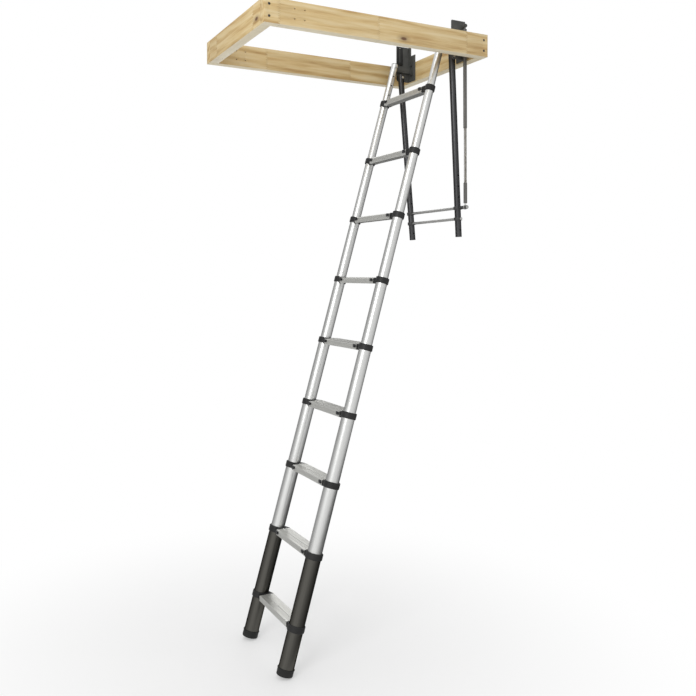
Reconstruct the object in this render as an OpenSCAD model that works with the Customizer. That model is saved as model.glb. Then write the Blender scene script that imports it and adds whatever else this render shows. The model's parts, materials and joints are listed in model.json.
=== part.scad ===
// Telescoping loft ladder hung in a timber hatch frame.
// Origin: centre of the hatch opening, in the plane of the frame's underside.
// +X runs towards the hinge end, +Y to the far side, +Z up. Millimetres, degrees.

/* [Hatch frame] */
// Clear length of the hatch opening
opening_l = 950; // [880:10:1200]
// Clear width of the hatch opening
opening_w = 600; // [560:10:760]
// Thickness of the frame boards
board_t = 40; // [30:1:50]
// Height of the frame boards
board_h = 95; // [90:1:160]
// Open end of the frame to the middle of the fixing holes
fix_from_end = 145; // [100:5:200]
// Radius of a fixing hole through a side board
fix_hole_r = 3; // [2:0.5:5]
// Hole-to-hole distance of the fixing holes along the board
fix_dx = 42; // [30:1:60]
// Hole-to-hole distance of the fixing holes up the board
fix_dz = 38; // [30:1:50]

/* [Ladder] */
// Lean of the ladder from vertical
lean = 16; // [12:1:20]
// Distance between the axes of the two stiles
stile_spacing = 385; // [360:5:420]
// Rung pitch along the stiles
pitch = 290; // [250:5:350]
// Outer diameter of the top tubes
top_od = 33; // [28:1:40]
// Wall of every tube
tube_wall = 1.5; // [1.2:0.1:2.5]
// Radial gap between one tube and the next
slide_gap = 0.5; // [0.3:0.1:0.8]
// Length of tube left inside the next section
overlap = 60; // [45:5:90]
// Lowest rung to the sole of the foot, along the stile
foot_drop = 187; // [150:1:240]
// Head pivot to the top rung, along the stile
head_drop = 190; // [190:1:240]
// Length of stile above the head pivot
head_over = 14; // [12:1:18]
// Head pivot to the hinge-end board
head_in = 106; // [100:1:116]
// Head pivot above the frame's underside
head_z = 58; // [50:1:70]

/* [Rungs] */
// Height of a rung
rung_h = 26; // [22:1:30]
// Depth of the hollow box under the tread
rung_box = 43; // [38:1:48]
// Depth of the thin wing behind the box
rung_wing = 22; // [14:1:28]
// Front face of a rung ahead of the stile axis
rung_front = 24; // [18:1:32]
// Wall of the rung extrusion
rung_wall = 1.8; // [1.4:0.1:2.5]

/* [Collars and buttons] */
// Height of a collar
collar_h = 26; // [22:1:32]
// Wall of a collar
collar_wall = 4; // [3:0.5:6]
// Width of a release button
button_w = 17; // [14:1:20]
// Height of a release button
button_h = 13; // [10:1:16]
// Travel of a release button
button_travel = 10; // [8:1:12]
// Radius of a lock pin
pin_r = 4; // [3:0.5:4.5]

/* [Cradle] */
// Outer diameter of the swing arms
arm_od = 28; // [24:1:32]
// Wall of the swing arms
arm_wall = 2; // [1.5:0.5:3]
// Toe-in of each arm, from the pivot to the rods
arm_toe = 1.6; // [0:0.2:2]
// Arm pivot to the hinge-end board
arm_in = 57; // [50:1:62]
// Arm pivot above the frame's underside
arm_z = 19; // [15:1:24]
// Arm pivot to the arm's lower end
arm_l = 789; // [760:1:860]
// Lean of the arms, away from the ladder
arm_lean = 4; // [2:0.5:6]
// Pitch of the holes in the arms
hole_pitch = 48; // [40:1:52]
// Arm pivot to the upper cross rod
rod_s = 661; // [620:1:690]
// Radius of the cross rods
rod_r = 6; // [5:0.5:7]
// Radius of the pivot bolts
bolt_r = 3; // [2.5:0.5:5]
// Thickness of the bracket plates
plate_t = 4; // [3:0.5:5]
// Outer diameter of the balance spring's sleeves
sleeve_od = 16; // [14:1:18]

/* [Hidden] */
$fn = 48;
RUNGS = 9;

// Clearances
run_gap = 0.05;
seat_gap = 0.1;
free_gap = 0.3;

// Hatch frame
frame_x = opening_l / 2;
frame_y = opening_w / 2;
screw_r = 2.5;
screw_head_r = 5;
screw_head_t = 3;
screw_l = 75;
screw_z = [25, 70];
bracket_screw_z = [35, 80];
bracket_screw_l = 34;
fix_z = board_h / 2;

// Stiles
stile_y = stile_spacing / 2;
head_x = frame_x - head_in;
lip_t = 3;
bush_t = 6;
bush_spigot = 12;
bush_bore = 7;
function tube_od(k) = top_od + 2 * (tube_wall + slide_gap) * (RUNGS - k);
function rung_s(k) = head_drop + (RUNGS - k) * pitch;
function host(k) = max(k - 1, 1);
function collar_r(k) = tube_od(host(k)) / 2 + collar_wall;
sole_t = 8;
foot_s = rung_s(1) + foot_drop;
function tube_top(k) = k == RUNGS ? -head_over : rung_s(k + 1) - collar_h / 2 + lip_t;
function tube_end(k) = k == 1 ? foot_s - sole_t : rung_s(k) + overlap;
head_holes = [for (i = [1 : 3]) head_drop + 2 - hole_pitch * i];
head_hole_r = 3.5;

// Rungs: each end stands off the collar's ring by a cheek, and the wing's ends slope in
rung_stand = 10;
wing_in = 10;
wing_h = 9;
rib_pitch = 4.4;
rib_cut = 0.9;
tread_step = 1.6;
nose = 3;
front_pitch = 2.6;
front_cut = 0.5;
edge = 2;
rung_back = rung_box - rung_front + rung_wing;
web_x = rung_box - rung_front;
slope_from = 2;
function rung_end(k) = stile_y - collar_r(k) - rung_stand;
function wing_end(k, x) = rung_end(k) - wing_in * (x - slope_from) / (rung_back - slope_from);
cheek_front = 20;
cheek_t = 6;
plug_l = 26;
plug_gap = 0.15;

// Buttons and lock pins
pin_z = 3.5;
pin_x = pin_z * tan(lean);
cap_t = 4.5;
cap_inset = 3;
stem_w = 8;
function cap_y(k) = rung_end(k) - cap_inset - button_w / 2;

// Feet
foot_wall = 1.5;
foot_h = 30;
foot_rim = 5;

// Cradle
plate_out = 35.5;
plate_in = stile_y + plate_out;
washer_t = 1.7;
arm_y = plate_in - washer_t - free_gap - arm_od / 2;
arm_x = frame_x - arm_in;
arm_over = 15;
fitting_wall = 4.5;
fitting_h = 14;
arm_hole_r = 3.5;
rod_sticks_out = 24;
arm_at_rods = arm_y - rod_s * sin(arm_toe);

// Brackets: a side plate with the arm's lug, a flange on the end board and a tongue for the head
plate_top = 175;
plate_front = frame_x - 71;
plate_low = 6;
flange_in = 62;
flange_step = 24;
flange_step_z = 130;
lug_r = 14;
tongue_r = 12;
tongue_in = stile_y + top_od / 2 + free_gap + washer_t;
bridge_x = frame_x - 40;
bolt_head_r = 2 * bolt_r;
bolt_head_t = 4;
nut_af = 3.4 * bolt_r;
nut_t = 5;
spacer_r = 2 * bolt_r;

// Balance spring, on the near side
spring_out = 24;
spring_y = -(plate_in + spring_out);
anchor_x = frame_x - 16;
anchor_z = 150;
anchor_r = 5;
eye_wall = 3.5;
eye_w = 8;
sleeve_id = sleeve_od - 2;
coil_od = sleeve_id - 1.4;
coil_id = coil_od - 5;
coil_in = 12;
upper_sleeve_l = 430;
coil_l = 239;
shank_r = 3.5;
rod_x = arm_x + rod_s * cos(arm_toe) * sin(arm_lean);
rod_z = arm_z - rod_s * cos(arm_toe) * cos(arm_lean);
spring_len = norm([rod_x - anchor_x, anchor_z - rod_z]);
spring_tilt = atan2(rod_x - anchor_x, anchor_z - rod_z);
hook_eye_r = rod_r + eye_wall;
sleeve_cap = 8;
lower_sleeve_end = spring_len - hook_eye_r - 8;
rod_near = -spring_y + eye_w / 2 + 8;

// ---- Places ----

// Down the stiles by s, with local z up the ladder and local y across it
module on_stile(s) {
    translate([head_x, 0, head_z]) rotate([0, lean, 0]) translate([0, 0, -s]) children();
}

// Centre of a rung, with the axes level
module at_rung(k) {
    translate([head_x - rung_s(k) * sin(lean), 0, head_z - rung_s(k) * cos(lean)]) children();
}

// Down the arms by s, on the middle plane
module on_cradle(s) {
    translate([arm_x, 0, arm_z]) rotate([0, -arm_lean, 0]) translate([0, 0, -s * cos(arm_toe)]) children();
}

// Down the far arm by s, along its own axis
module on_arm(s) {
    translate([arm_x, arm_y, arm_z]) rotate([0, -arm_lean, 0]) rotate([-arm_toe, 0, 0])
        translate([0, 0, -s]) children();
}

// Down the balance spring by s, from its anchor
module on_spring(s) {
    translate([anchor_x, spring_y, anchor_z]) rotate([0, -spring_tilt, 0]) translate([0, 0, -s]) children();
}

// The same thing on the far and the near side
module both_sides() {
    for (side = [0, 1]) mirror([0, side, 0]) children();
}

// A cylinder along y, from y0 to y1
module y_cylinder(r, y0, y1) {
    translate([0, y0, 0]) rotate([-90, 0, 0]) cylinder(r = r, h = y1 - y0);
}

// A cylinder along x, from x0 to x1
module x_cylinder(r, x0, x1) {
    translate([x0, 0, 0]) rotate([0, 90, 0]) cylinder(r = r, h = x1 - x0);
}

// A round body with its own profile of [radius, height] points
module turned(points) {
    rotate_extrude() polygon(points);
}

// ---- Hatch frame ----

module corner_screw_places() {
    for (end = [-1, 1], z = screw_z) translate([end * (frame_x + board_t / 2), 0, z]) children();
}

module side_boards() {
    color("burlywood") both_sides() difference() {
        translate([-frame_x - board_t, frame_y, 0]) cube([opening_l + 2 * board_t, board_t, board_h]);
        corner_screw_places() {
            y_cylinder(screw_r + seat_gap, frame_y - 1, frame_y + board_t + 1);
            y_cylinder(screw_head_r + seat_gap, frame_y + board_t - screw_head_t, frame_y + board_t + 1);
        }
        for (i = [0, 1], j = [-0.5, 0.5])
            translate([-frame_x - board_t + fix_from_end - fix_dx / 2 + i * fix_dx, 0, fix_z + j * fix_dz])
                y_cylinder(fix_hole_r, frame_y - 1, frame_y + board_t + 1);
    }
}

module bracket_screw_places() {
    both_sides() for (z = bracket_screw_z)
        translate([frame_x, plate_in + plate_t - flange_in / 2, z]) children();
}

module end_boards() {
    color("burlywood") for (end = [-1, 1]) difference() {
        translate([end * (frame_x + board_t / 2) - board_t / 2, -frame_y, 0]) cube([board_t, opening_w, board_h]);
        both_sides() corner_screw_places()
            y_cylinder(screw_r + seat_gap, frame_y + board_t - screw_head_t - screw_l - 1, frame_y + 1);
        if (end == 1) bracket_screw_places() x_cylinder(screw_r + seat_gap, -1, bracket_screw_l + 1);
    }
}

module wood_screws() {
    color("dimgray") {
        both_sides() corner_screw_places() {
            y_cylinder(screw_r, frame_y + board_t - screw_head_t - screw_l, frame_y + board_t - screw_head_t);
            y_cylinder(screw_head_r, frame_y + board_t - screw_head_t, frame_y + board_t);
        }
        bracket_screw_places() {
            x_cylinder(screw_r, -plate_t, bracket_screw_l);
            x_cylinder(screw_head_r, -plate_t - screw_head_t, -plate_t);
        }
    }
}

// ---- Brackets ----

// Outline of the side plate, in x and z
module side_plate_outline() {
    translate([plate_front, arm_z]) square([frame_x - plate_front, plate_top - arm_z]);
    translate([arm_x, plate_low]) square([frame_x - arm_x, arm_z - plate_low]);
    translate([arm_x, arm_z]) circle(r = lug_r);
}

// The tongue stands inboard of the side plate, above the arm, and carries the stile's head
module tongue() {
    translate([0, tongue_in + plate_t, 0]) rotate([90, 0, 0]) linear_extrude(plate_t) {
        translate([head_x, head_z - tongue_r]) square([frame_x - head_x - plate_t, 2 * tongue_r]);
        translate([head_x, head_z]) circle(r = tongue_r);
    }
    translate([bridge_x, tongue_in, head_z - tongue_r])
        cube([frame_x - plate_t - bridge_x, plate_in - tongue_in + 1, 2 * tongue_r]);
}

module bracket() {
    difference() {
        union() {
            translate([0, plate_in + plate_t, 0]) rotate([90, 0, 0]) linear_extrude(plate_t) side_plate_outline();
            translate([frame_x - plate_t, plate_in + plate_t - flange_in, plate_low])
                cube([plate_t, flange_in, flange_step_z - plate_low]);
            translate([frame_x - plate_t, plate_in + plate_t - flange_step, plate_low])
                cube([plate_t, flange_step, plate_top - plate_low]);
            tongue();
        }
        translate([head_x, 0, head_z]) y_cylinder(bolt_r + seat_gap, tongue_in - 1, tongue_in + plate_t + 1);
        translate([arm_x, 0, arm_z]) y_cylinder(bolt_r + seat_gap, plate_in - 1, plate_in + plate_t + 1);
        bracket_screw_places() x_cylinder(screw_r + seat_gap, -plate_t - 1, 1);
    }
}

module bracket_far() {
    color("dimgray") bracket();
}

// The near bracket also carries the spring's anchor pin and the pin's head
module bracket_near() {
    color("dimgray") {
        mirror([0, 1, 0]) bracket();
        translate([anchor_x, 0, anchor_z]) {
            y_cylinder(anchor_r, spring_y - eye_w / 2 - 4, -plate_in - plate_t);
            y_cylinder(anchor_r + 2.5, spring_y - eye_w / 2 - 4, spring_y - eye_w / 2 - free_gap);
            y_cylinder(anchor_r + 2.5, spring_y + eye_w / 2 + free_gap, -plate_in - plate_t);
        }
    }
}

// One pivot: bolt and head, a washer outside the tube and a nut inside it
module pivot(x, z, tube_y, tube_r, plate_y) {
    nut_y = tube_y - tube_r - free_gap - nut_t;
    translate([x, 0, z]) {
        y_cylinder(bolt_r, nut_y - 2, plate_y + plate_t);
        y_cylinder(bolt_head_r, plate_y + plate_t, plate_y + plate_t + bolt_head_t);
        difference() {
            y_cylinder(spacer_r, plate_y - washer_t, plate_y);
            y_cylinder(bolt_r + seat_gap, plate_y - washer_t - 1, plate_y + 1);
        }
        difference() {
            translate([0, nut_y, 0]) rotate([-90, 0, 0]) cylinder(d = nut_af / cos(30), h = nut_t, $fn = 6);
            y_cylinder(bolt_r + seat_gap, nut_y - 1, nut_y + nut_t + 1);
        }
    }
}

module pivot_bolts() {
    color("silver") both_sides() {
        pivot(head_x, head_z, stile_y, top_od / 2, tongue_in);
        pivot(arm_x, arm_z, arm_y, arm_od / 2, plate_in);
    }
}

// Two uprights on a foot and under a tip, against the inner face of each side plate
module stow_catches() {
    catch_x = plate_front + 1;
    foot_z = 84;
    bar_w = 11;
    bar_gap = 9;
    bar_t = 4;
    bar_top = 166;
    color("dimgray") both_sides() translate([catch_x, plate_in - bar_t, 0]) {
        for (i = [0, 1]) translate([i * (bar_w + bar_gap), 0, foot_z]) cube([bar_w, bar_t, bar_top - foot_z]);
        translate([0, 0, foot_z]) cube([2 * bar_w + bar_gap, bar_t, 14]);
        translate([0, 0, bar_top]) cube([2 * bar_w + bar_gap, bar_t, 8]);
    }
}

// ---- Cradle ----

module arm() {
    spare_holes = concat([for (i = [1 : 3]) rod_s - i * hole_pitch], [rod_s + 2 * hole_pitch]);
    color("black") difference() {
        on_arm(arm_l) difference() {
            cylinder(d = arm_od, h = arm_l + arm_over);
            translate([0, 0, -1]) cylinder(d = arm_od - 2 * arm_wall, h = arm_l + arm_over + 2);
        }
        translate([arm_x, arm_y, arm_z]) y_cylinder(bolt_r + run_gap, -arm_od, arm_od);
        for (s = [rod_s, rod_s + hole_pitch]) on_cradle(s) y_cylinder(rod_r + seat_gap, 0, plate_in);
        for (s = spare_holes) on_arm(s) y_cylinder(arm_hole_r, -arm_od, arm_od);
    }
}

module arm_far() {
    arm();
}

module arm_near() {
    mirror([0, 1, 0]) arm();
}

// The upper rod runs on through the spring's hook on the near side
module cross_rods() {
    rod_end = arm_at_rods + rod_sticks_out;
    color("silver") {
        on_cradle(rod_s) y_cylinder(rod_r, -rod_near, rod_end);
        on_cradle(rod_s + hole_pitch) y_cylinder(rod_r, -rod_end, rod_end);
    }
}

// A collar on the upper rod, from y0 to y1
module rod_collar(y0, y1) {
    on_cradle(rod_s) difference() {
        y_cylinder(rod_r + 1.5, y0, y1);
        y_cylinder(rod_r + seat_gap, y0 - 1, y1 + 1);
    }
}

// Clamp rings where the rods cross the arms, and collars on each side of the spring's hook
module arm_fittings() {
    ring_r = arm_od / 2 + fitting_wall;
    color("black") {
        both_sides() for (s = [rod_s, rod_s + hole_pitch]) difference() {
            on_arm(s + fitting_h / 2) cylinder(r = ring_r, h = fitting_h);
            on_arm(s + fitting_h) cylinder(r = arm_od / 2 + seat_gap, h = 2 * fitting_h);
            on_cradle(s) y_cylinder(rod_r + seat_gap, 0, plate_in);
        }
        rod_collar(-rod_near - 1, spring_y - eye_w / 2 - free_gap);
        rod_collar(spring_y + eye_w / 2 + free_gap, -arm_at_rods - ring_r - 1);
    }
}

// ---- Balance spring ----

// A ring along y with the bore of a running fit
module eye(bore) {
    difference() {
        y_cylinder(bore + eye_wall, -eye_w / 2, eye_w / 2);
        y_cylinder(bore, -eye_w, eye_w);
    }
}

module spring_upper_sleeve() {
    neck = anchor_r + eye_wall + 6;
    color("dimgray") {
        on_spring(0) eye(anchor_r + run_gap);
        difference() {
            on_spring(neck + upper_sleeve_l) cylinder(d = sleeve_od, h = upper_sleeve_l);
            on_spring(neck + upper_sleeve_l + 1) cylinder(d = sleeve_id, h = upper_sleeve_l - sleeve_cap + 1);
        }
        difference() {
            on_spring(neck) cylinder(r = shank_r, h = neck);
            on_spring(0) y_cylinder(anchor_r + 1, -eye_w, eye_w);
        }
    }
}

coil_s = anchor_r + eye_wall + 6 + upper_sleeve_l;

module spring_coil() {
    color("gray") on_spring(coil_s + coil_l + coil_in) difference() {
        cylinder(d = coil_od, h = coil_l + 2 * coil_in);
        translate([0, 0, -1]) cylinder(d = coil_id, h = coil_l + 2 * coil_in + 2);
    }
}

module spring_lower_sleeve() {
    top_s = coil_s + coil_l;
    color("dimgray") on_spring(lower_sleeve_end) difference() {
        cylinder(d = sleeve_od, h = lower_sleeve_end - top_s);
        translate([0, 0, sleeve_cap]) cylinder(d = sleeve_id, h = lower_sleeve_end - top_s);
        translate([0, 0, -1]) cylinder(r = shank_r + seat_gap, h = sleeve_cap + 2);
    }
}

module spring_hook() {
    color("silver") {
        on_spring(spring_len) eye(rod_r + run_gap);
        difference() {
            on_spring(spring_len) cylinder(r = shank_r, h = spring_len - lower_sleeve_end + sleeve_cap + 4);
            on_spring(spring_len) y_cylinder(rod_r + 1, -eye_w, eye_w);
        }
        on_spring(lower_sleeve_end - sleeve_cap) cylinder(r = shank_r + 2, h = 4);
    }
}

// ---- Telescoping sections ----

// A hole through the inboard wall of the far tube
module inboard_hole(s, r) {
    on_stile(s) y_cylinder(r, 0, stile_y);
}

module tube(k) {
    od = tube_od(k);
    length = tube_end(k) - tube_top(k);
    difference() {
        on_stile(tube_end(k)) translate([0, stile_y, 0]) difference() {
            cylinder(d = od, h = length);
            translate([0, 0, -1]) cylinder(d = od - 2 * tube_wall, h = length + 2);
        }
        if (k < RUNGS) inboard_hole(rung_s(k + 1) - pin_z / cos(lean), pin_r + free_gap);
        if (k > 1) inboard_hole(rung_s(k) - pin_z / cos(lean), pin_r + free_gap);
        if (k == RUNGS) {
            on_stile(0) y_cylinder(bolt_r + run_gap, stile_y - od, stile_y + od);
            for (s = head_holes) inboard_hole(s, head_hole_r);
        }
    }
}

// Plastic plug in the tube's lower end, which guides it in the next tube
module guide_bush(k) {
    bore_r = tube_od(k) / 2 - tube_wall;
    flange_r = tube_od(k - 1) / 2 - tube_wall - free_gap;
    on_stile(tube_end(k) + bush_t + seat_gap) translate([0, stile_y, 0]) turned([
        [bush_bore, 0], [flange_r - 1, 0], [flange_r, 1], [flange_r, bush_t],
        [bore_r - seat_gap, bush_t], [bore_r - seat_gap, bush_t + bush_spigot], [bush_bore, bush_t + bush_spigot]
    ]);
}

module tubes(k) {
    color(k == 1 ? "black" : "silver") both_sides() {
        tube(k);
        if (k > 1) guide_bush(k);
    }
}

module head_caps() {
    cap_r = top_od / 2;
    bore_r = top_od / 2 - tube_wall;
    color("black") both_sides() on_stile(-head_over) translate([0, stile_y, 0]) turned([
        [0, -5], [bore_r - seat_gap, -5], [bore_r - seat_gap, 0], [cap_r, 0], [cap_r, 1.5], [cap_r - 2, 3], [0, 3]
    ]);
}

module feet() {
    bore_r = tube_od(1) / 2 + seat_gap;
    skin_r = bore_r + foot_wall;
    rim_r = skin_r + 1.5;
    color("black") both_sides() on_stile(foot_s) translate([0, stile_y, 0]) turned([
        [0, 0], [skin_r - 4, 0], [skin_r - 1, 1.2], [skin_r, 4], [skin_r, foot_h - foot_rim],
        [rim_r, foot_h - foot_rim + 1], [rim_r, foot_h - 1], [rim_r - 1, foot_h], [bore_r, foot_h],
        [bore_r, sole_t], [0, sole_t]
    ]);
}

// ---- Rungs ----

// Tread ribs, as notches cut from back to front
function rib_points(n, x0, z) = [
    for (i = [0 : n - 1]) for (p = [[0, 0], [0.4, -rib_cut], [1.6, -rib_cut], [2, 0]])
        [x0 - i * rib_pitch - p[0], z + p[1]]
];

// Fine ribs down the front face, as notches cut from the top
function front_points(n, z0) = [
    for (i = [0 : n - 1]) for (p = [[0, 0], [front_cut, -0.3], [front_cut, -1], [0, -1.3]])
        [-rung_front + p[0], z0 - i * front_pitch + p[1]]
];

// Outline of the extrusion in x and z, without its hollows: the tread steps down to a front half
module rung_outline() {
    top = rung_h / 2;
    low_top = top - tread_step;
    step_x = (rung_back - rung_front) / 2;
    front_ribs = floor((rung_h - tread_step - nose - 2 * edge) / front_pitch);
    back_ribs = floor((rung_back - 2 * edge - step_x - 1) / rib_pitch);
    tread_ribs = floor((step_x - tread_step + rung_front - nose - 2) / rib_pitch);
    polygon(concat(
        [[-rung_front, -top + edge], [-rung_front + edge, -top], [web_x - edge, -top], [web_x, -top + edge]],
        [[web_x, top - wing_h], [rung_back - edge, top - wing_h], [rung_back, top - wing_h + edge]],
        [[rung_back, top - edge], [rung_back - edge, top]],
        rib_points(back_ribs, rung_back - 2 * edge, top),
        [[step_x, top], [step_x - tread_step, low_top]],
        rib_points(tread_ribs, step_x - tread_step - 1, low_top),
        [[-rung_front + nose, low_top], [-rung_front, low_top - nose]],
        front_points(front_ribs, low_top - nose - 1)
    ));
}

// Hollow of the box, grown or shrunk by a gap
module box_hollow(gap) {
    floor_z = -rung_h / 2 + rung_wall;
    roof_z = rung_h / 2 - tread_step - rib_cut - rung_wall;
    translate([-rung_front + rung_wall + front_cut + gap, floor_z + gap])
        square([rung_box - 2 * rung_wall - front_cut - 2 * gap, roof_z - floor_z - 2 * gap]);
}

module wing_hollow(gap) {
    low = rung_h / 2 - wing_h + rung_wall;
    translate([web_x + gap, low + gap])
        square([rung_wing - rung_wall - 2 * gap, wing_h - 2 * rung_wall - rib_cut - 2 * gap]);
}

// A profile in x and z, extruded along y from y0 to y1
module along_y(y0, y1) {
    translate([0, y1, 0]) rotate([90, 0, 0]) linear_extrude(y1 - y0) children();
}

// Plan of one rung: straight ends at the box, sloping ends at the wing
module rung_plan(k) {
    y = rung_end(k);
    y_back = wing_end(k, rung_back + 1);
    polygon([
        [-rung_front - 1, y], [slope_from, y], [rung_back + 1, y_back],
        [rung_back + 1, -y_back], [slope_from, -y], [-rung_front - 1, -y]
    ]);
}

module rung(k) {
    y = rung_end(k);
    color("silver") difference() {
        at_rung(k) difference() {
            intersection() {
                along_y(-y, y) difference() {
                    rung_outline();
                    box_hollow(0);
                    wing_hollow(0);
                }
                translate([0, 0, -rung_h]) linear_extrude(2 * rung_h) rung_plan(k);
            }
            if (k > 1) both_sides() button_slot(k);
        }
        both_sides() on_stile(rung_s(k) + 2 * rung_h) translate([0, stile_y, 0])
            cylinder(r = collar_r(k) + plug_gap, h = 4 * rung_h);
    }
}

// Slot in the rung's front wall that the button's stem runs in
module button_slot(k) {
    translate([-rung_front - 1, cap_y(k) - stem_w / 2 - free_gap - button_travel, pin_z - stem_w / 2 - free_gap])
        cube([rung_wall + 2, stem_w + 2 * free_gap + button_travel, stem_w + 2 * free_gap]);
}

// ---- Collars ----

// Ring round the stile: the lip on top closes the host tube and clears the next one
module collar_ring(k) {
    r = collar_r(k);
    bore = tube_od(host(k)) / 2 + seat_gap;
    lip_bore = k == 1 ? bore : tube_od(k) / 2 + free_gap;
    on_stile(rung_s(k) + collar_h / 2) translate([0, stile_y, 0]) turned([
        [bore, 0], [r - 1.5, 0], [r, 1.5], [r, collar_h - 2], [r - 2, collar_h], [lip_bore, collar_h],
        [lip_bore, collar_h - lip_t], [bore, collar_h - lip_t]
    ]);
}

// Cheek that closes the rung's end and the wing's end, in plan
module cheek_plan(k) {
    y = rung_end(k) + plug_gap;
    y_back = wing_end(k, rung_back - 1) + plug_gap;
    polygon([
        [-cheek_front, y], [slope_from, y], [rung_back - 1, y_back], [rung_back - 1, y_back + cheek_t],
        [collar_r(k) - 8, stile_y - 8], [collar_r(k) - 8, stile_y], [-cheek_front, stile_y]
    ]);
}

module collar(k) {
    y = rung_end(k);
    half = rung_h / 2;
    difference() {
        union() {
            collar_ring(k);
            difference() {
                at_rung(k) {
                    intersection() {
                        along_y(y - wing_in - 1, stile_y) {
                            translate([-rung_front, -half]) square([rung_box, rung_h - rib_cut]);
                            translate([web_x - 1, half - wing_h]) square([rung_wing, wing_h - rib_cut]);
                        }
                        translate([0, 0, -rung_h]) linear_extrude(2 * rung_h) cheek_plan(k);
                    }
                    along_y(y - plug_l, y + 1) box_hollow(plug_gap);
                }
                on_stile(rung_s(k) + 2 * collar_h) translate([0, stile_y, 0])
                    cylinder(d = tube_od(host(k)) + 2 * seat_gap + 1, h = 4 * collar_h);
            }
        }
        if (k > 1) at_rung(k) pin_room(k);
    }
}

// Room in the collar for the lock pin and the button's stem
module pin_room(k) {
    translate([pin_x, 0, pin_z]) y_cylinder(pin_r + free_gap, rung_end(k) - plug_l - 1, stile_y);
    translate([-rung_front, rung_end(k) - plug_l - 1, pin_z - stem_w / 2 - free_gap])
        cube([rung_front + pin_x, plug_l - 1, stem_w + 2 * free_gap]);
}

module collars(k) {
    color("black") both_sides() collar(k);
}

// ---- Release buttons ----

// Cap on the front face, stem through the slot and lock pin towards the stile
module button(k, side) {
    tip = stile_y - tube_od(k) / 2 - free_gap;
    color("black") mirror([0, side < 0 ? 1 : 0, 0]) at_rung(k) {
        translate([-rung_front - free_gap - cap_t, cap_y(k) - button_w / 2, pin_z - button_h / 2])
            cube([cap_t, button_w, button_h]);
        translate([-rung_front - free_gap - 1, cap_y(k) - stem_w / 2, pin_z - stem_w / 2])
            cube([rung_front + free_gap + 1 + pin_x, stem_w, stem_w]);
        translate([pin_x, 0, pin_z]) y_cylinder(pin_r, cap_y(k) - stem_w / 2, tip);
    }
}

// ---- Nodes ----

side_boards();
end_boards();
wood_screws();
bracket_far();
bracket_near();
pivot_bolts();
stow_catches();
arm_far();
arm_near();
cross_rods();
arm_fittings();
spring_upper_sleeve();
spring_coil();
spring_lower_sleeve();
spring_hook();
head_caps();
feet();
for (k = [1 : RUNGS]) {
    tubes(k);
    rung(k);
    collars(k);
}
for (k = [2 : RUNGS]) {
    button(k, 1);
    button(k, -1);
}
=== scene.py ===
"""Telescoping loft ladder hung in a timber hatch frame, with a spring-balanced cradle.

Metres, in the same frame as the built parts: the origin is the middle of the hatch opening in the
plane of the frame's underside, +X runs to the hinge end, +Y to the far side and +Z up.
"""

import json
from math import cos, pi, radians, sin

import bmesh
import bpy
from mathutils import Matrix, Vector


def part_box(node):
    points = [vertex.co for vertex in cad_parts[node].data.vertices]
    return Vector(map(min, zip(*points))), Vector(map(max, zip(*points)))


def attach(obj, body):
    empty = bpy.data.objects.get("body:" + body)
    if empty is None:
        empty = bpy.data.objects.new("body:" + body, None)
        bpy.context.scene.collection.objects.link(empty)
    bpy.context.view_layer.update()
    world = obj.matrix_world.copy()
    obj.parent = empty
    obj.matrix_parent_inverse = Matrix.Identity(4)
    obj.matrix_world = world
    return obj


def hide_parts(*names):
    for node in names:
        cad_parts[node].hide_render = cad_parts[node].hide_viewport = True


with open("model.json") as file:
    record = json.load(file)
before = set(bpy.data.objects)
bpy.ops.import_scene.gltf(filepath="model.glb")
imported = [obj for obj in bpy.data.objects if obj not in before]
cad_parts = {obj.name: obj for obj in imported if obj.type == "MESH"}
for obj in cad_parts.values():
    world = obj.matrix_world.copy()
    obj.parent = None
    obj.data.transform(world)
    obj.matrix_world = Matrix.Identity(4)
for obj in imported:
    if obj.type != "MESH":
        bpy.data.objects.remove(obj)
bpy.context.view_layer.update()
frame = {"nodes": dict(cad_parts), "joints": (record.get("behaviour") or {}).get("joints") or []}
nodes = frame["nodes"]

# ---- Hatch frame boards ----
# Four planed pine boards, made up of finger-jointed laths glued end to end. The two long boards
# run full length and are screwed into the ends of the two short ones; every corner is eased.

MERGE = 1e-6
BOARD_EDGE = 0.0012
LATH_LENGTH = 0.43
FINGER_PITCH = 0.0085
FINGER_DEPTH = 0.011
JOINT_LINE = 0.0012  # as a share of a lath
SIDE_STAGGER = 0.11
PINE_PALE = (0.80, 0.65, 0.38, 1)
PINE_WARM = (0.70, 0.52, 0.245, 1)
PINE_LATE = (0.50, 0.31, 0.11, 1)
# Pale cream for the painted light on the boards' narrow faces
PINE_PAINTED_LIGHT = (0.90, 0.85, 0.69, 1)
KNOT_BROWN = (0.15, 0.07, 0.028, 1)


def link_collection(piece):
    bpy.context.scene.collection.objects.link(piece)
    return piece


def finished_mesh(piece):
    """The piece as a plain mesh with its modifiers worked in."""
    graph = bpy.context.evaluated_depsgraph_get()
    mesh = bpy.data.meshes.new_from_object(piece.evaluated_get(graph))
    piece.modifiers.clear()
    old = piece.data
    piece.data = mesh
    mesh.name = piece.name
    if old.users == 0 and isinstance(old, bpy.types.Mesh):
        bpy.data.meshes.remove(old)
    return piece


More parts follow.
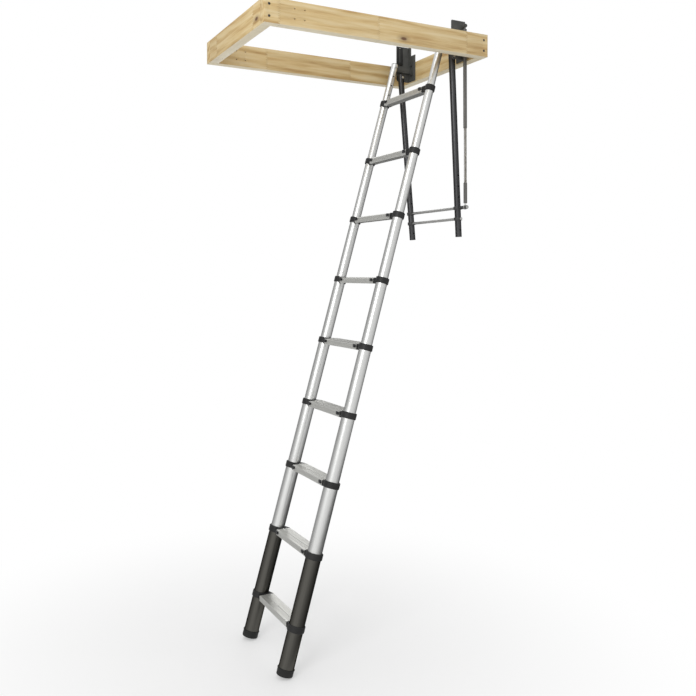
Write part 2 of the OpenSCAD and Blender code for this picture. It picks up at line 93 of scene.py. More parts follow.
def eased_copy(node, edge, name, segments=2):
    """A copy of one built piece with its sharp corners rounded over by edge metres."""
    mesh = nodes[node].data.copy()
    bm = bmesh.new()
    bm.from_mesh(mesh)
    bmesh.ops.remove_doubles(bm, verts=bm.verts, dist=MERGE)
    bmesh.ops.dissolve_limit(bm, angle_limit=radians(0.5), verts=bm.verts, edges=bm.edges)
    bm.to_mesh(mesh)
    bm.free()
    piece = link_collection(bpy.data.objects.new(name, mesh))
    ease = piece.modifiers.new("ease", "BEVEL")
    ease.width = edge
    ease.segments = segments
    ease.limit_method = "ANGLE"
    ease.angle_limit = radians(40)
    ease.harden_normals = False
    piece = finished_mesh(piece)
    for face in piece.data.polygons:
        face.use_smooth = True
    piece.data.set_sharp_from_angle(angle=radians(35))
    return piece


def coated(piece, *finishes):
    """The piece with these materials and no others."""
    piece.data.materials.clear()
    for finish in finishes:
        piece.data.materials.append(finish)


def new_finish(name, colour=(0.8, 0.8, 0.8, 1), roughness=0.5, metallic=0.0):
    """A material with its shader, and the object coordinates that its pattern reads."""
    finish = bpy.data.materials.new(name)
    finish.use_nodes = True
    finish.diffuse_color = colour
    tree = finish.node_tree
    shader = tree.nodes["Principled BSDF"]
    shader.inputs["Base Color"].default_value = colour
    shader.inputs["Roughness"].default_value = roughness
    shader.inputs["Metallic"].default_value = metallic
    coords = tree.nodes.new("ShaderNodeTexCoord").outputs["Object"]
    return finish, tree, shader, coords


def maths(tree, operation, a, b=None):
    node = tree.nodes.new("ShaderNodeMath")
    node.operation = operation
    for socket, value in zip(node.inputs, (a, b)):
        if value is None:
            continue
        if isinstance(value, (int, float)):
            socket.default_value = value
        else:
            tree.links.new(value, socket)
    return node.outputs[0]


def stretched(tree, coords, scale, turn=(0, 0, 0)):
    """Coordinates turned and then scaled, for a pattern that runs along a piece."""
    turned = tree.nodes.new("ShaderNodeMapping")
    turned.inputs["Rotation"].default_value = turn
    tree.links.new(coords, turned.inputs["Vector"])
    scaled = tree.nodes.new("ShaderNodeMapping")
    scaled.inputs["Scale"].default_value = scale
    tree.links.new(turned.outputs["Vector"], scaled.inputs["Vector"])
    return scaled.outputs["Vector"]


def graded_into(tree, value, stops, socket):
    tree.links.new(graded(tree, value, stops), socket)


def noise(tree, vector, scale, detail=3.0, roughness=0.5):
    node = tree.nodes.new("ShaderNodeTexNoise")
    node.inputs["Scale"].default_value = scale
    node.inputs["Detail"].default_value = detail
    node.inputs["Roughness"].default_value = roughness
    tree.links.new(vector, node.inputs["Vector"])
    return node.outputs["Fac"]


def graded(tree, value, stops):
    """A colour ramp over value; stops are (place, colour)."""
    node = tree.nodes.new("ShaderNodeValToRGB")
    ramp = node.color_ramp
    while len(ramp.elements) < len(stops):
        ramp.elements.new(0.5)
    for element, (place, colour) in zip(ramp.elements, stops):
        element.position = place
        element.color = colour
    tree.links.new(value, node.inputs["Fac"])
    return node.outputs["Color"]


def mixed(tree, factor, a, b, blend="MIX"):
    node = tree.nodes.new("ShaderNodeMix")
    node.data_type = "RGBA"
    node.blend_type = blend
    for socket, value in ((node.inputs["Factor"], factor), (node.inputs[6], a), (node.inputs[7], b)):
        if isinstance(value, (int, float, tuple)):
            socket.default_value = value
        else:
            tree.links.new(value, socket)
    return node.outputs[2]


def bumped(tree, shader, height, distance, strength=1.0):
    node = tree.nodes.new("ShaderNodeBump")
    node.inputs["Distance"].default_value = distance
    node.inputs["Strength"].default_value = strength
    tree.links.new(height, node.inputs["Height"])
    tree.links.new(node.outputs["Normal"], shader.inputs["Normal"])


def pine(name, along, shift):
    """Planed pine with its grain along one axis, in laths joined by fingers."""
    finish, tree, shader, coords = new_finish(name, PINE_PALE, roughness=0.55)
    parts = tree.nodes.new("ShaderNodeSeparateXYZ")
    tree.links.new(coords, parts.inputs[0])
    run = parts.outputs[along]
    across = parts.outputs[1 - along]
    height = parts.outputs[2]
    # Fingers: the joint line zigzags over the board's height
    zigzag = maths(tree, "PINGPONG", height, FINGER_PITCH / 2)
    zigzag = maths(tree, "MULTIPLY", zigzag, 2 * FINGER_DEPTH / FINGER_PITCH)
    side = maths(tree, "MULTIPLY", maths(tree, "SIGN", across), SIDE_STAGGER)
    place = maths(tree, "ADD", maths(tree, "ADD", run, zigzag), maths(tree, "ADD", side, shift))
    lath = maths(tree, "DIVIDE", place, LATH_LENGTH)
    number = maths(tree, "FLOOR", lath)
    within = maths(tree, "FRACT", lath)
    to_joint = maths(tree, "MINIMUM", within, maths(tree, "SUBTRACT", 1.0, within))
    joint = maths(tree, "LESS_THAN", to_joint, JOINT_LINE)
    # Each lath has its own tone and its own stretch of grain
    chance = tree.nodes.new("ShaderNodeTexWhiteNoise")
    chance.noise_dimensions = "2D"
    seed = tree.nodes.new("ShaderNodeCombineXYZ")
    tree.links.new(number, seed.inputs[0])
    tree.links.new(maths(tree, "SIGN", across), seed.inputs[1])
    tree.links.new(seed.outputs[0], chance.inputs["Vector"])
    tone = chance.outputs["Value"]
    grain_at = tree.nodes.new("ShaderNodeCombineXYZ")
    tree.links.new(maths(tree, "ADD", run, maths(tree, "MULTIPLY", tone, 31.0)), grain_at.inputs[0])
    tree.links.new(across, grain_at.inputs[1])
    tree.links.new(height, grain_at.inputs[2])
    grain_at = grain_at.outputs[0]
    rings = tree.nodes.new("ShaderNodeTexWave")
    rings.wave_type = "BANDS"
    rings.bands_direction = "Z"
    for socket, value in (("Scale", 1.0), ("Distortion", 11.0), ("Detail", 3.0), ("Detail Scale", 1.0)):
        rings.inputs[socket].default_value = value
    tree.links.new(stretched(tree, grain_at, (1.4, 9, 7)), rings.inputs["Vector"])
    streak = noise(tree, stretched(tree, grain_at, (3.2, 70, 60)), 1.0, 5.0, 0.62)
    fibre = noise(tree, stretched(tree, grain_at, (9, 430, 520)), 1.0, 3.0, 0.6)
    grain = maths(tree, "MULTIPLY", rings.outputs["Fac"], 0.16)
    grain = maths(tree, "ADD", grain, maths(tree, "MULTIPLY", streak, 0.6))
    grain = maths(tree, "ADD", grain, maths(tree, "MULTIPLY", fibre, 0.24))
    wood = graded(tree, grain, ((0.36, PINE_PALE), (0.52, PINE_WARM), (0.66, PINE_LATE)))
    # The boards' narrow faces, which point up and down, are made paler: painted light, not a tone of
    # the wood
    facing = tree.nodes.new("ShaderNodeSeparateXYZ")
    tree.links.new(tree.nodes.new("ShaderNodeNewGeometry").outputs["Normal"], facing.inputs[0])
    edge = maths(tree, "GREATER_THAN", maths(tree, "ABSOLUTE", facing.outputs[2]), 0.7)
    wood = mixed(tree, maths(tree, "MULTIPLY", edge, 0.75), wood, PINE_PAINTED_LIGHT)
    tint = graded(tree, tone, ((0.0, (0.84, 0.80, 0.73, 1)), (1.0, (1.0, 1.0, 1.0, 1))))
    wood = mixed(tree, 1.0, wood, tint, "MULTIPLY")
    # Knots: scattered ovals with a dark heart and a warm halo
    cells = tree.nodes.new("ShaderNodeTexVoronoi")
    cells.inputs["Scale"].default_value = 1.0
    knots_at = tree.nodes.new("ShaderNodeCombineXYZ")
    for i, (measure, count) in enumerate(((run, 4.2), (across, 9.0), (height, 9.0))):
        tree.links.new(maths(tree, "MULTIPLY", measure, count), knots_at.inputs[i])
    tree.links.new(knots_at.outputs[0], cells.inputs["Vector"])
    heart = graded(tree, cells.outputs["Distance"], (
        (0.045, (1, 1, 1, 1)), (0.08, (0.35, 0.35, 0.35, 1)), (0.17, (0, 0, 0, 1)),
    ))
    wood = mixed(tree, heart, wood, KNOT_BROWN)
    wood = mixed(tree, maths(tree, "MULTIPLY", joint, 0.55), wood, KNOT_BROWN)
    tree.links.new(wood, shader.inputs["Base Color"])
    relief = maths(tree, "SUBTRACT", fibre, maths(tree, "MULTIPLY", joint, 1.5))
    bumped(tree, shader, relief, 0.0004, 0.5)
    return finish


for node, along, shift in (("side_boards", 0, 0.13), ("end_boards", 1, 0.33)):
    boards = eased_copy(node, BOARD_EDGE, node + "_planed")
    coated(boards, pine("pine_" + node, along, shift))
    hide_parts(node)
    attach(boards, "frame")

# ---- Wood screws ----
# Blackened countersunk screws with a cross recess: two at each corner of the frame and two through
# each bracket's flange. One head is turned and pressed, and stood at every screw.

HEAD_RADIUS = 0.005
HEAD_RISE = 0.0011
HEAD_SUNK = 0.0004
RECESS_ARM = 0.0026
RECESS_WIDTH = 0.0009
RECESS_DEPTH = 0.0016


def recoat(node, finish):
    for slot in nodes[node].material_slots:
        slot.material = finish


def islands(node):
    """The separate solids of a built piece, each as the list of its corners."""
    bm = bmesh.new()
    bm.from_mesh(nodes[node].data)
    bmesh.ops.remove_doubles(bm, verts=bm.verts, dist=MERGE)
    waiting = set(bm.verts)
    solids = []
    while waiting:
        stack = [waiting.pop()]
        corners = []
        while stack:
            vert = stack.pop()
            corners.append(vert.co.copy())
            for edge in vert.link_edges:
                other = edge.other_vert(vert)
                if other in waiting:
                    waiting.remove(other)
                    stack.append(other)
        solids.append(corners)
    bm.free()
    return solids


def limits(corners):
    low = Vector(min(c[i] for c in corners) for i in range(3))
    high = Vector(max(c[i] for c in corners) for i in range(3))
    return low, high


def turned_mesh(name, profile, steps):
    """A closed body of revolution about z from (radius, height) points, whose ends are on the axis."""
    bm = bmesh.new()
    rings = []
    for radius, height in profile:
        if radius == 0:
            rings.append([bm.verts.new((0, 0, height))])
            continue
        rings.append([
            bm.verts.new((radius * cos(2 * pi * i / steps), radius * sin(2 * pi * i / steps), height))
            for i in range(steps)
        ])
    for lower, upper in zip(rings, rings[1:]):
        for i in range(steps):
            j = (i + 1) % steps
            corners = (
                lower[i % len(lower)], lower[j % len(lower)],
                upper[j % len(upper)], upper[i % len(upper)],
            )
            unique = list(dict.fromkeys(corners))
            if len(unique) > 2:
                bm.faces.new(unique)
    bmesh.ops.recalc_face_normals(bm, faces=bm.faces)
    mesh = bpy.data.meshes.new(name)
    bm.to_mesh(mesh)
    bm.free()
    return mesh


def standing_on_points(name, part, places, finish):
    """One copy of part on each (point, outward direction), joined into a plain mesh."""
    points = bpy.data.meshes.new(name)
    points.from_pydata([p for p, _ in places], [], [])
    facing = points.attributes.new("facing", "FLOAT_VECTOR", "POINT")
    for i, (_, direction) in enumerate(places):
        facing.data[i].vector = direction
    piece = link_collection(bpy.data.objects.new(name, points))
    tree = bpy.data.node_groups.new(name + "_set", "GeometryNodeTree")
    tree.interface.new_socket("Geometry", in_out="INPUT", socket_type="NodeSocketGeometry")
    size = tree.interface.new_socket("Size", in_out="INPUT", socket_type="NodeSocketFloat")
    size.default_value = 1.0
    tree.interface.new_socket("Geometry", in_out="OUTPUT", socket_type="NodeSocketGeometry")
    start = tree.nodes.new("NodeGroupInput")
    end = tree.nodes.new("NodeGroupOutput")
    direction = tree.nodes.new("GeometryNodeInputNamedAttribute")
    direction.data_type = "FLOAT_VECTOR"
    direction.inputs["Name"].default_value = "facing"
    align = tree.nodes.new("FunctionNodeAlignRotationToVector")
    align.axis = "Z"
    tree.links.new(direction.outputs["Attribute"], align.inputs["Vector"])
    source = tree.nodes.new("GeometryNodeObjectInfo")
    source.inputs["Object"].default_value = part
    copies = tree.nodes.new("GeometryNodeInstanceOnPoints")
    tree.links.new(start.outputs["Geometry"], copies.inputs["Points"])
    tree.links.new(source.outputs["Geometry"], copies.inputs["Instance"])
    tree.links.new(align.outputs["Rotation"], copies.inputs["Rotation"])
    tree.links.new(start.outputs["Size"], copies.inputs["Scale"])
    real = tree.nodes.new("GeometryNodeRealizeInstances")
    tree.links.new(copies.outputs["Instances"], real.inputs["Geometry"])
    coat = tree.nodes.new("GeometryNodeSetMaterial")
    coat.inputs["Material"].default_value = finish
    tree.links.new(real.outputs["Geometry"], coat.inputs["Geometry"])
    tree.links.new(coat.outputs["Geometry"], end.inputs["Geometry"])
    copy = piece.modifiers.new("copies", "NODES")
    copy.node_group = tree
    copy[size.identifier] = 1.0
    piece = finished_mesh(piece)
    bpy.data.objects.remove(part)
    coated(piece, finish)
    return piece


def screw_head():
    """A low domed head whose cross recess is cut with two slots."""
    rim = HEAD_RADIUS * 0.93
    dome = (
        (0, -HEAD_SUNK), (rim, -HEAD_SUNK), (HEAD_RADIUS, 0.0),
        (rim, HEAD_RISE * 0.45), (rim * 0.6, HEAD_RISE * 0.9), (0, HEAD_RISE),
    )
    head = link_collection(bpy.data.objects.new("screw_head", turned_mesh("screw_head", dome, 24)))
    for turn in (0, 1):
        arm = (RECESS_ARM, RECESS_WIDTH / 2) if turn == 0 else (RECESS_WIDTH / 2, RECESS_ARM)
        bm = bmesh.new()
        bmesh.ops.create_cube(bm, size=1.0)
        for vert in bm.verts:
            x, y, z = vert.co
            vert.co = (x * 2 * arm[0], y * 2 * arm[1], z * RECESS_DEPTH + HEAD_RISE)
        mesh = bpy.data.meshes.new("recess")
        bm.to_mesh(mesh)
        bm.free()
        cutter = link_collection(bpy.data.objects.new("recess", mesh))
        cut = head.modifiers.new("recess", "BOOLEAN")
        cut.object = cutter
        cut.solver = "EXACT"
        head = finished_mesh(head)
        bpy.data.objects.remove(cutter)
    return head


def blackened():
    finish, tree, shader, coords = new_finish("blackened_steel", (0.05, 0.045, 0.04, 1), 0.42, 0.8)
    wear = noise(tree, coords, 420.0, 3.0)
    tones = (0.35, (0.035, 0.032, 0.03, 1)), (0.75, (0.14, 0.13, 0.12, 1))
    graded_into(tree, wear, tones, shader.inputs["Base Color"])
    return finish


screw_places = []
for solid in islands("wood_screws"):
    low, high = limits(solid)
    middle = (low + high) / 2
    if high.x - low.x > high.y - low.y:
        screw_places.append(((low.x, middle.y, middle.z), (-1, 0, 0)))
    elif middle.y > 0:
        screw_places.append(((middle.x, high.y, middle.z), (0, 1, 0)))
    else:
        screw_places.append(((middle.x, low.y, middle.z), (0, -1, 0)))
screw_finish = blackened()
recoat("wood_screws", screw_finish)
heads = standing_on_points("screw_heads", screw_head(), screw_places, screw_finish)
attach(heads, "frame")

# ---- Hinge brackets and stow catches ----
# Folded 4 mm steel in dark grey powder coat, with the fine orange-peel texture of the coating.
# The stow catches are narrow black uprights against the side plates, with a pale nylon tip.


def powder_coat(name, colour, grain=900.0, rough=0.46):
    finish, tree, shader, coords = new_finish(name, colour, rough)
    speckle = noise(tree, coords, grain, 2.0)
    cloud = noise(tree, coords, 14.0, 2.0)
    shader.inputs["Specular IOR Level"].default_value = 0.35
    paler = tuple(min(1.0, c * 1.3 + 0.006) for c in colour[:3]) + (1,)
    darker = tuple(c * 0.82 for c in colour[:3]) + (1,)
    graded_into(tree, cloud, ((0.3, darker), (0.7, paler)), shader.inputs["Base Color"])
    bumped(tree, shader, speckle, 0.00025, 0.5)
    return finish


bracket_coat = powder_coat("bracket_powder_coat", (0.060, 0.061, 0.056, 1))
for side in ("far", "near"):
    bracket = eased_copy("bracket_" + side, 0.0007, "bracket_%s_plate" % side)
    coated(bracket, bracket_coat)
    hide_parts("bracket_" + side)
    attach(bracket, "frame")

catch_coat = powder_coat("catch_coat", (0.012, 0.012, 0.012, 1))
catches = eased_copy("stow_catches", 0.0009, "stow_catch_uprights")
coated(catches, catch_coat)
nylon, tree, shader, coords = new_finish("pale_nylon", (0.74, 0.73, 0.70, 1), 0.42)
bumped(tree, shader, noise(tree, coords, 700.0, 2.0), 0.0001, 0.4)
catches.data.materials.append(nylon)
catch_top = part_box("stow_catches")[1].z
TIP_HEIGHT = 0.0085
for face in catches.data.polygons:
    if face.center.z > catch_top - TIP_HEIGHT:
        face.material_index = 1
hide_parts("stow_catches")
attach(catches, "frame")

# ---- Pivot bolts ----
# Zinc-plated bolts with flanged heads, spacers and nuts. The plating is bright, with faint
# turning marks and a slightly cloudy film.


def zinc(name, colour=(0.62, 0.62, 0.60, 1)):
    finish, tree, shader, coords = new_finish(name, colour, 0.3, 1.0)
    film = noise(tree, coords, 60.0, 3.0)
    dull = tuple(c * 0.86 for c in colour[:3]) + (1,)
    graded_into(tree, film, ((0.3, dull), (0.7, colour)), shader.inputs["Base Color"])
    rough = tree.nodes.new("ShaderNodeMapRange")
    rough.inputs["To Min"].default_value = 0.24
    rough.inputs["To Max"].default_value = 0.42
    tree.links.new(film, rough.inputs["Value"])
    tree.links.new(rough.outputs["Result"], shader.inputs["Roughness"])
    bumped(tree, shader, noise(tree, stretched(tree, coords, (900, 40, 900)), 1.0, 2.0), 0.00008, 0.4)
    return finish


plating = zinc("zinc_plating")
bolts = eased_copy("pivot_bolts", 0.0006, "pivot_bolts_plated")
coated(bolts, plating)
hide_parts("pivot_bolts")
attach(bolts, "frame")

# ---- Cradle ----
# Two black-painted steel arms with a row of adjustment holes, joined by two plated rods. Black
# nylon rings clamp the rods where they cross the arms.

for node in ("cross_rods", "spring_hook"):
    recoat(node, plating)


def arm_black(name):
    finish, tree, shader, coords = new_finish(name, (0.075, 0.075, 0.076, 1), 0.36, 1.0)
    shader.inputs["Specular Tint"].default_value = (0.12, 0.12, 0.12, 1)
    drift = noise(tree, stretched(tree, coords, (30, 30, 4)), 1.0, 3.0)
    tones = (0.3, (0.058, 0.058, 0.06, 1)), (0.75, (0.09, 0.09, 0.092, 1))
    graded_into(tree, drift, tones, shader.inputs["Base Color"])
    bumped(tree, shader, noise(tree, coords, 500.0, 2.0), 0.0001, 0.3)
    return finish


arm_paint = arm_black("arm_black_paint")
for node in ("arm_far", "arm_near"):
    recoat(node, arm_paint)


def moulded(name, colour, rough=0.5, grain=1300.0):
    """Moulded plastic with a spark-eroded grain."""
    finish, tree, shader, coords = new_finish(name, colour, rough)
    shader.inputs["Specular IOR Level"].default_value = 0.3
    spark = noise(tree, coords, grain, 3.0, 0.6)
    cloud = noise(tree, coords, 22.0, 2.0)
    paler = tuple(c * 1.25 + 0.004 for c in colour[:3]) + (1,)
    graded_into(tree, cloud, ((0.3, colour), (0.75, paler)), shader.inputs["Base Color"])
    bumped(tree, shader, spark, 0.00018, 0.5)
    return finish


ring_nylon = moulded("clamp_ring_nylon", (0.045, 0.045, 0.045, 1), 0.42)
rings = eased_copy("arm_fittings", 0.0009, "clamp_rings")
coated(rings, ring_nylon)
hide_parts("arm_fittings")
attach(rings, "cradle")

# ---- Balance spring ----
# A close-wound extension spring that shows between two painted steel sleeves. The coil is one wire
# swept along a helix between them, and it is fixed to the lower sleeve.

SPRING_WIRE = 0.0026
SPRING_PITCH = 0.0034
COIL_END = 0.004
STEPS_IN_A_TURN = 20
WIRE_SIDES = 8


def sleeve_finish():
    finish, tree, shader, coords = new_finish("sleeve_paint", (0.075, 0.07, 0.066, 1), 0.42, 0.25)
    scuff = noise(tree, stretched(tree, coords, (160, 160, 12)), 1.0, 4.0)
    tones = (0.35, (0.09, 0.087, 0.081, 1)), (0.75, (0.15, 0.143, 0.132, 1))
    graded_into(tree, scuff, tones, shader.inputs["Base Color"])
    bumped(tree, shader, scuff, 0.0002, 0.3)
    return finish


def spring_steel():
    finish, tree, shader, coords = new_finish("spring_steel", (0.30, 0.275, 0.23, 1), 0.36, 0.85)
    oil = noise(tree, coords, 130.0, 3.0)
    tones = (0.3, (0.20, 0.18, 0.145, 1)), (0.7, (0.36, 0.33, 0.28, 1))
    graded_into(tree, oil, tones, shader.inputs["Base Color"])
    return finish


sleeve_paint = sleeve_finish()
for node in ("spring_upper_sleeve", "spring_lower_sleeve"):
    recoat(node, sleeve_paint)


def wound_coil():
    """One wire on a helix round the built coil's own axis, from end to end."""
    low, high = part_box("spring_coil")
    corners = [v.co for v in nodes["spring_coil"].data.vertices]
    top = [c for c in corners if c.z > high.z - COIL_END]
    foot = [c for c in corners if c.z < low.z + COIL_END]
    head = sum(top, Vector()) / len(top)
    tail = sum(foot, Vector()) / len(foot)
    axis = (head - tail).normalized()
    length = (head - tail).length - SPRING_WIRE
    outer = max((c - tail - axis * (c - tail).dot(axis)).length for c in foot)
    turns = int(length / SPRING_PITCH)
    tree = bpy.data.node_groups.new("wound_coil", "GeometryNodeTree")
    tree.interface.new_socket("Geometry", in_out="INPUT", socket_type="NodeSocketGeometry")
    inputs = {}
    for label, value, kind in (
        ("Turns", float(turns), "NodeSocketFloat"),
        ("Height", length, "NodeSocketFloat"),
        ("Coil Radius", outer - SPRING_WIRE / 2, "NodeSocketFloat"),
        ("Wire Radius", SPRING_WIRE / 2, "NodeSocketFloat"),
    ):
        socket = tree.interface.new_socket(label, in_out="INPUT", socket_type=kind)
        socket.default_value = value
        inputs[label] = (socket.identifier, value)
    tree.interface.new_socket("Geometry", in_out="OUTPUT", socket_type="NodeSocketGeometry")
    start = tree.nodes.new("NodeGroupInput")
    end = tree.nodes.new("NodeGroupOutput")
    helix = tree.nodes.new("GeometryNodeCurveSpiral")
    helix.inputs["Resolution"].default_value = STEPS_IN_A_TURN
    tree.links.new(start.outputs["Turns"], helix.inputs["Rotations"])
    tree.links.new(start.outputs["Coil Radius"], helix.inputs["Start Radius"])
    tree.links.new(start.outputs["Coil Radius"], helix.inputs["End Radius"])
    tree.links.new(start.outputs["Height"], helix.inputs["Height"])
    wire = tree.nodes.new("GeometryNodeCurvePrimitiveCircle")
    wire.inputs["Resolution"].default_value = WIRE_SIDES
    tree.links.new(start.outputs["Wire Radius"], wire.inputs["Radius"])
    swept = tree.nodes.new("GeometryNodeCurveToMesh")
    swept.inputs["Fill Caps"].default_value = True
    tree.links.new(helix.outputs["Curve"], swept.inputs["Curve"])
    tree.links.new(wire.outputs["Curve"], swept.inputs["Profile Curve"])
    real = tree.nodes.new("GeometryNodeRealizeInstances")
    tree.links.new(swept.outputs["Mesh"], real.inputs["Geometry"])
    coat = tree.nodes.new("GeometryNodeSetMaterial")
    finish = spring_steel()
    coat.inputs["Material"].default_value = finish
    tree.links.new(real.outputs["Geometry"], coat.inputs["Geometry"])
    tree.links.new(coat.outputs["Geometry"], end.inputs["Geometry"])
    coil = link_collection(bpy.data.objects.new("wound_coil", bpy.data.meshes.new("wound_coil")))
    winding = coil.modifiers.new("winding", "NODES")
    winding.node_group = tree
    for identifier, value in inputs.values():
        winding[identifier] = value
    coil = finished_mesh(coil)
    lean = Vector((0, 0, 1)).rotation_difference(axis).to_matrix().to_4x4()
    coil.data.transform(lean)
    coil.data.transform(Matrix.Translation(tail + axis * SPRING_WIRE / 2))
    bm = bmesh.new()
    bm.from_mesh(coil.data)
    bmesh.ops.recalc_face_normals(bm, faces=bm.faces)
    bm.to_mesh(coil.data)
    bm.free()
    for face in coil.data.polygons:
        face.use_smooth = True
    coated(coil, finish)
    return coil


coil = wound_coil()
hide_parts("spring_coil")
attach(coil, "spring_lower")

# ---- Stile tubes ----
# Clear-anodised aluminium tubes, each sliding in the next; the lowest pair is black-anodised.
# Drawing leaves faint streaks along the tube.

slide = next(j for j in frame["joints"] if j["name"] == "section_1_slide")
lean_axis = Vector(slide["axis"]).normalized()
LEAN = Vector((0, 0, 1)).angle(lean_axis)


def drawn_tube(name, pale, deep, rough_low, rough_high, rim):
    finish, tree, shader, coords = new_finish(name, pale, rough_low, 1.0)
    shader.inputs["Specular Tint"].default_value = (rim, rim, rim, 1)
    streaks = noise(tree, stretched(tree, coords, (520, 520, 2.2), (0, -LEAN, 0)), 1.0, 3.0, 0.6)
    cloud = noise(tree, coords, 7.0, 2.0)
    graded_into(tree, streaks, ((0.25, deep), (0.75, pale)), shader.inputs["Base Color"])
    rough = tree.nodes.new("ShaderNodeMapRange")
    rough.inputs["From Min"].default_value = 0.3
    rough.inputs["From Max"].default_value = 0.7
    rough.inputs["To Min"].default_value = rough_low
    rough.inputs["To Max"].default_value = rough_high
    tree.links.new(cloud, rough.inputs["Value"])
    tree.links.new(rough.outputs["Result"], shader.inputs["Roughness"])
    bumped(tree, shader, streaks, 0.00003, 0.25)
    return finish


anodised = drawn_tube(
    "clear_anodised_tube", (0.72, 0.723, 0.712, 1), (0.648, 0.651, 0.64, 1), 0.26, 0.34, 0.5)
black_anodised = drawn_tube(
    "black_anodised_tube", (0.112, 0.108, 0.097, 1), (0.09, 0.087, 0.078, 1), 0.28, 0.36, 0.1)
for k in range(1, 9):
    recoat("tubes_%d" % k, black_anodised if k == 1 else anodised)

# The top tubes are open at the head and have bare adjustment holes, so their bores show. The bores are
# dull, and their faces are painted near black: painted shade inside the tube
dull_bore, tree, shader, coords = new_finish("dull_bore", (0.03, 0.03, 0.029, 1), 0.7)
tones = (0.3, (0.018, 0.018, 0.017, 1)), (0.7, (0.045, 0.044, 0.042, 1))
graded_into(tree, noise(tree, coords, 240.0, 3.0), tones, shader.inputs["Base Color"])
top_tubes = eased_copy("tubes_9", 0.0003, "tubes_9_drawn", 1)
coated(top_tubes, anodised, dull_bore)
pivot = Vector(next(j for j in frame["joints"] if j["name"] == "ladder_swing")["pos_m"])
cap_reach = [abs(v.co.y) for v in nodes["head_caps"].data.vertices]
stile_y = (min(cap_reach) + max(cap_reach)) / 2
# Faces that look in towards a tube's axis take the painted shade of the bore
for face in top_tubes.data.polygons:
    middle = face.center
    out = middle - Vector((pivot.x, stile_y if middle.y > 0 else -stile_y, pivot.z))
    out -= lean_axis * out.dot(lean_axis)
    if out.dot(face.normal) < -0.5 * out.length:
        face.material_index = 1
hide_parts("tubes_9")
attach(top_tubes, "section_9")

# ---- Collars and caps ----
# Glass-filled nylon collars with an eroded texture. Each closes the top of its tube, carries the
# rung on a plug and hides the lock.

collar_nylon = moulded("collar_nylon", (0.015, 0.015, 0.0148, 1), 0.45)
for k in range(1, 10):
    recoat("collars_%d" % k, collar_nylon)
recoat("head_caps", collar_nylon)

# ---- Rungs ----
# Extruded aluminium treads with ribs along the top, satin-anodised. Die lines run the length of
# the extrusion, across the ladder.


def extruded_rung():
    finish, tree, shader, coords = new_finish("satin_rung", (0.67, 0.67, 0.64, 1), 0.36, 0.75)
    lines = noise(tree, stretched(tree, coords, (650, 2.5, 650)), 1.0, 3.0, 0.6)
    tones = (0.3, (0.61, 0.61, 0.58, 1)), (0.7, (0.72, 0.72, 0.69, 1))
    graded_into(tree, lines, tones, shader.inputs["Base Color"])
    bumped(tree, shader, lines, 0.00006, 0.4)
    return finish


rung_finish = extruded_rung()
for k in range(1, 10):
    recoat("rung_%d" % k, rung_finish)

# ---- Release buttons ----
# Black thumb buttons at both ends of each rung but the lowest, moulded with rounded corners. Each
# one draws its lock pin on a stem when it is pressed.

button_plastic = moulded("button_plastic", (0.022, 0.022, 0.024, 1), 0.36, 1600.0)
for k in range(2, 10):
    for side in ("far", "near"):
        node = "button_%s_%d" % (side, k)
        button = eased_copy(node, 0.0013, node + "_thumb", 3)
        coated(button, button_plastic)
        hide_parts(node)
        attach(button, node)

# ---- Feet ----
# Black rubber shoes pushed over the ends of the lowest tubes. They are moulded, with a fine grain
# that grips the floor.

foot_rubber = moulded("foot_rubber", (0.011, 0.011, 0.0105, 1), 0.62, 600.0)
recoat("feet", foot_rubber)

# ---- Floor, light and camera ----
# A pale floor that fades into a white surround, a soft lamp on the left and one behind, and a round
# of cards, darkest on the right, that the tubes mirror as their shaded sides.

FLOOR_SIZE = 60.0
FADE_START = 0.25
FADE_END = 1.9
FADE_LEAST = 0.35
KEY_POWER = 75
REAR_POWER = 25
WORLD_LEVEL = 0.68
CARD_NEAR = 0.35
CARD_CLEAR = 0.004
CARDS = (
    # start, end, reach, height, glow of the floor, glow of the upright
    (-165, -90, 6.0, 5.0, 0.45, 0.45), (-90, -60, 6.0, 5.0, 0.68, 0.68),
    (10, 35, 2.5, 6.0, 0.60, 0.95), (35, 60, 2.5, 6.0, 0.38, 0.90), (60, 85, 2.5, 6.0, 0.22, 0.78),
    (85, 115, 2.5, 6.0, 0.14, 0.55), (115, 145, 2.5, 6.0, 0.05, 0.25), (145, 178, 2.5, 6.0, 0.05, 0.08),
)
VIEW_YAW = radians(28.0)
VIEW_PITCH = radians(0.96)
VIEW_PLACE = (-1.615, -3.082, -0.929)
SENSOR_MM = 36.0
LENS_MM = 40.92
LENS_SHIFT = (-0.0025, -0.0886)
foot_low, foot_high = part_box("feet")
foot_middle = (foot_low + foot_high) / 2


def shows_white(tree):
    """1 for what is looked at straight or in a shiny or clear piece, 0 for soft light."""
    path = tree.nodes.new("ShaderNodeLightPath").outputs
    seen = maths(tree, "MAXIMUM", path["Is Camera Ray"], path["Is Glossy Ray"])
    return maths(tree, "MAXIMUM", seen, path["Is Transmission Ray"])


def white_where(tree, shade, factor):
    """The shader, but plain white to the eye where factor is 1."""
    seen = shows_white(tree)
    blend = tree.nodes.new("ShaderNodeMixShader")
    glow = tree.nodes.new("ShaderNodeEmission")
    tree.links.new(maths(tree, "MULTIPLY", seen, factor), blend.inputs[0])
    tree.links.new(shade, blend.inputs[1])
    tree.links.new(glow.outputs[0], blend.inputs[2])
    return blend.outputs[0]


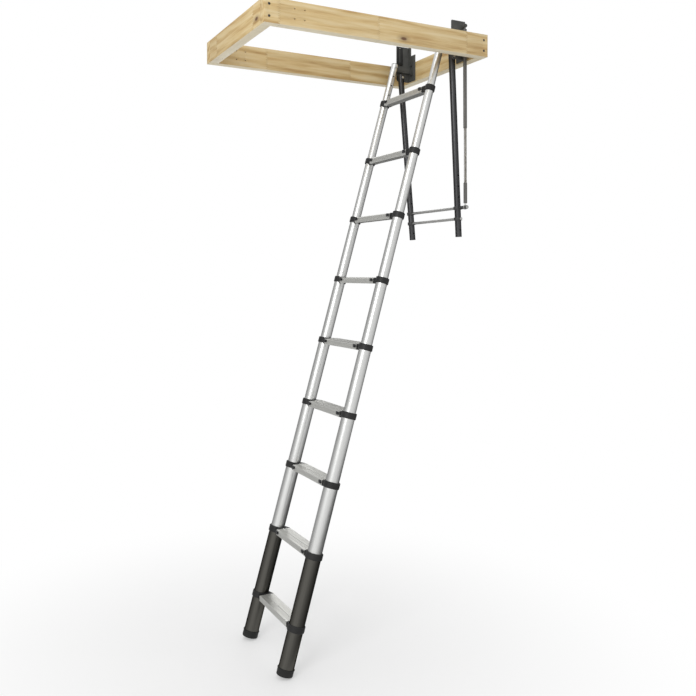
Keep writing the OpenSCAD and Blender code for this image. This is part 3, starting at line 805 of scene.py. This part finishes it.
mesh = bpy.data.meshes.new("studio_floor")
half = FLOOR_SIZE / 2
floor_z = foot_low.z
corners = [(x * half, y * half, floor_z) for x, y in ((-1, -1), (1, -1), (1, 1), (-1, 1))]
mesh.from_pydata(corners, [], [(0, 1, 2, 3)])
floor = link_collection(bpy.data.objects.new("studio_floor", mesh))
paper, tree, shader, coords = new_finish("floor_paper", (0.93, 0.93, 0.93, 1), 0.9)
shader.inputs["Specular IOR Level"].default_value = 0.1
centre = tree.nodes.new("ShaderNodeMapping")
centre.inputs["Location"].default_value = (-foot_middle.x, -foot_middle.y, -floor_z)
tree.links.new(coords, centre.inputs["Vector"])
reach = tree.nodes.new("ShaderNodeVectorMath")
reach.operation = "LENGTH"
tree.links.new(centre.outputs["Vector"], reach.inputs[0])
fade = tree.nodes.new("ShaderNodeMapRange")
fade.interpolation_type = "SMOOTHSTEP"
fade.inputs["From Min"].default_value = FADE_START
fade.inputs["From Max"].default_value = FADE_END
fade.inputs["To Min"].default_value = FADE_LEAST
tree.links.new(reach.outputs["Value"], fade.inputs["Value"])
output = tree.nodes["Material Output"]
tree.links.new(white_where(tree, shader.outputs[0], fade.outputs["Result"]), output.inputs["Surface"])
mesh.materials.append(paper)


def soft_light(name, place, target, size, power):
    lamp = bpy.data.lights.new(name, "AREA")
    lamp.shape = "RECTANGLE"
    lamp.size, lamp.size_y = size
    lamp.energy = power
    light = link_collection(bpy.data.objects.new(name, lamp))
    light.location = place
    light.rotation_euler = (Vector(target) - Vector(place)).to_track_quat("-Z", "Y").to_euler()


def mirrored_card(name, start, end, reach, height, floor_glow, wall_glow):
    """A card along the floor and then up, which only shiny pieces mirror.

    Its start and end are angles to the right of the camera, in degrees.
    """
    corners = []
    for turn in (start, end):
        angle = -pi / 2 - VIEW_YAW + radians(turn)
        for distance, rise in ((CARD_NEAR, CARD_CLEAR), (reach, CARD_CLEAR), (reach, height)):
            foot = foot_middle.x + distance * cos(angle), foot_middle.y + distance * sin(angle)
            corners.append((*foot, floor_z + rise))
    sheet = bpy.data.meshes.new(name)
    sheet.from_pydata(corners, [], [(0, 1, 4, 3), (1, 2, 5, 4)])
    card = link_collection(bpy.data.objects.new(name, sheet))
    for part, glow in enumerate((floor_glow, wall_glow)):
        paint, _, shader, _ = new_finish("%s_%d" % (name, part), (0, 0, 0, 1), 1.0)
        shader.inputs["Specular IOR Level"].default_value = 0.0
        shader.inputs["Emission Color"].default_value = (1, 1, 1, 1)
        shader.inputs["Emission Strength"].default_value = glow
        sheet.materials.append(paint)
        sheet.polygons[part].material_index = part
    card.visible_camera = False
    card.visible_diffuse = False
    card.visible_shadow = False


soft_light("key", (-3.4, -2.6, 1.2), (0, 0, -1.2), (2.0, 3.6), KEY_POWER)
soft_light("rear", (1.8, 3.4, 0.6), (0, 0, -1.0), (2.5, 3.0), REAR_POWER)
for i, card in enumerate(CARDS):
    mirrored_card("card_%d" % i, *card)

world = bpy.data.worlds.new("studio")
bpy.context.scene.world = world
world.use_nodes = True
tree = world.node_tree
around = mixed(tree, shows_white(tree), (WORLD_LEVEL, WORLD_LEVEL, WORLD_LEVEL, 1), (1, 1, 1, 1))
tree.links.new(around, tree.nodes["Background"].inputs["Color"])

scene = bpy.context.scene
scene.view_settings.view_transform = "Standard"
lens = bpy.data.cameras.new("camera")
lens.sensor_width = SENSOR_MM
lens.lens = LENS_MM
lens.shift_x, lens.shift_y = LENS_SHIFT
camera = link_collection(bpy.data.objects.new("camera", lens))
camera.location = VIEW_PLACE
camera.rotation_euler = (pi / 2 - VIEW_PITCH, 0, -VIEW_YAW)
scene.camera = camera
